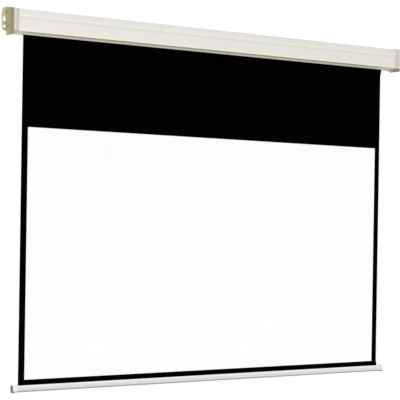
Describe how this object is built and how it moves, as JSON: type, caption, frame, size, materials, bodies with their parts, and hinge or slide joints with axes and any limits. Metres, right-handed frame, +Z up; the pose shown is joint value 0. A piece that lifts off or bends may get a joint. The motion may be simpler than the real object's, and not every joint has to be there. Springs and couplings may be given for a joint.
{
  "type": "motorised projection screen",
  "caption": "Wall-mounted roll-down projection screen: boxed case on keyhole brackets, tube-motor roller, black-bordered white sheet and weighted bottom bar.",
  "frame": {"origin": "middle of the case's back face, which lies against the wall, at half the height of the case's front", "axes": "+X along the case to the viewer's right, +Y into the wall, +Z up; the screen faces -Y and is stored fully down"},
  "size_m": [2.1944, 0.0762, 1.662],
  "materials": {
    "case_paint": "satin off-white powder coat on extruded aluminium",
    "collar_plastic": "matt light grey",
    "cap_plastic": "matt off-white",
    "plate_paint": "satin beige paint on folded steel",
    "zinc_steel": "bright zinc plate",
    "motor_steel": "plain steel tube",
    "tube_aluminium": "mill-finish extrusion",
    "black_plastic": "matt black, lightly grained",
    "lead_sheath": "smooth black sheath",
    "sheet_black": "matt black coated cloth",
    "sheet_white": "matt white projection coating",
    "bar_paint": "satin white powder coat on extruded aluminium",
    "bar_cap_plastic": "matt warm white"
  },
  "bodies": {
    "case": {"case_channel": "case_paint", "front_cover": "case_paint", "left_collar": "collar_plastic", "right_collar": "collar_plastic", "left_end_cap": "cap_plastic", "right_end_cap": "cap_plastic", "left_wall_plate": "plate_paint", "right_wall_plate": "plate_paint", "left_case_screw_1": "zinc_steel", "left_case_screw_2": "zinc_steel", "left_case_screw_3": "zinc_steel", "right_case_screw_1": "zinc_steel", "right_case_screw_2": "zinc_steel", "right_case_screw_3": "zinc_steel", "left_bracket_screw_1": "zinc_steel", "left_bracket_screw_2": "zinc_steel", "right_bracket_screw_1": "zinc_steel", "right_bracket_screw_2": "zinc_steel", "motor_bracket": "zinc_steel", "idler_bracket": "zinc_steel", "idler_bush": "black_plastic", "motor_head": "black_plastic", "motor_housing": "motor_steel", "gearbox": "motor_steel", "drive_motor": "motor_steel", "limit_switch_unit": "black_plastic", "cable_gland": "black_plastic", "gland_nut": "black_plastic", "motor_lead": "lead_sheath"},
    "roller": {"roller_tube": "tube_aluminium", "wound_cloth": "sheet_black", "limit_crown": "black_plastic", "motor_shaft": "zinc_steel", "drive_wheel": "black_plastic", "idler_plug": "black_plastic", "idler_pin": "zinc_steel"},
    "bar": {"bottom_bar": "bar_paint", "left_bar_cap": "bar_cap_plastic", "right_bar_cap": "bar_cap_plastic", "sheet_hem": "sheet_black", "hem_rod": "tube_aluminium", "screen_cloth": "sheet_black", "image_face": "sheet_white"},
    "lower_limit_setter": {"lower_limit_screw": "zinc_steel"},
    "upper_limit_setter": {"upper_limit_screw": "zinc_steel"}
  },
  "joints": [
    {"name": "screen_travel", "type": "slide", "parent": "case", "child": "bar", "axis": [0, 0, 1], "range_m": [0, 1.51], "deforming": ["screen_cloth", "image_face"]},
    {"name": "roller_spin", "type": "hinge", "parent": "case", "child": "roller", "pos_m": [0, -0.0398, 0], "axis": [1, 0, 0], "range_deg": [0, 3610]},
    {"name": "lower_limit_turn", "type": "hinge", "parent": "case", "child": "lower_limit_setter", "pos_m": [1.0638, -0.0458, -0.013], "axis": [1, 0, 0], "continuous": true},
    {"name": "upper_limit_turn", "type": "hinge", "parent": "case", "child": "upper_limit_setter", "pos_m": [1.0638, -0.0338, -0.013], "axis": [1, 0, 0], "continuous": true}
  ],
  "couplings": [
    {"joint": "roller_spin", "follows": "screen_travel", "rad_per_m": 41.667}
  ]
}
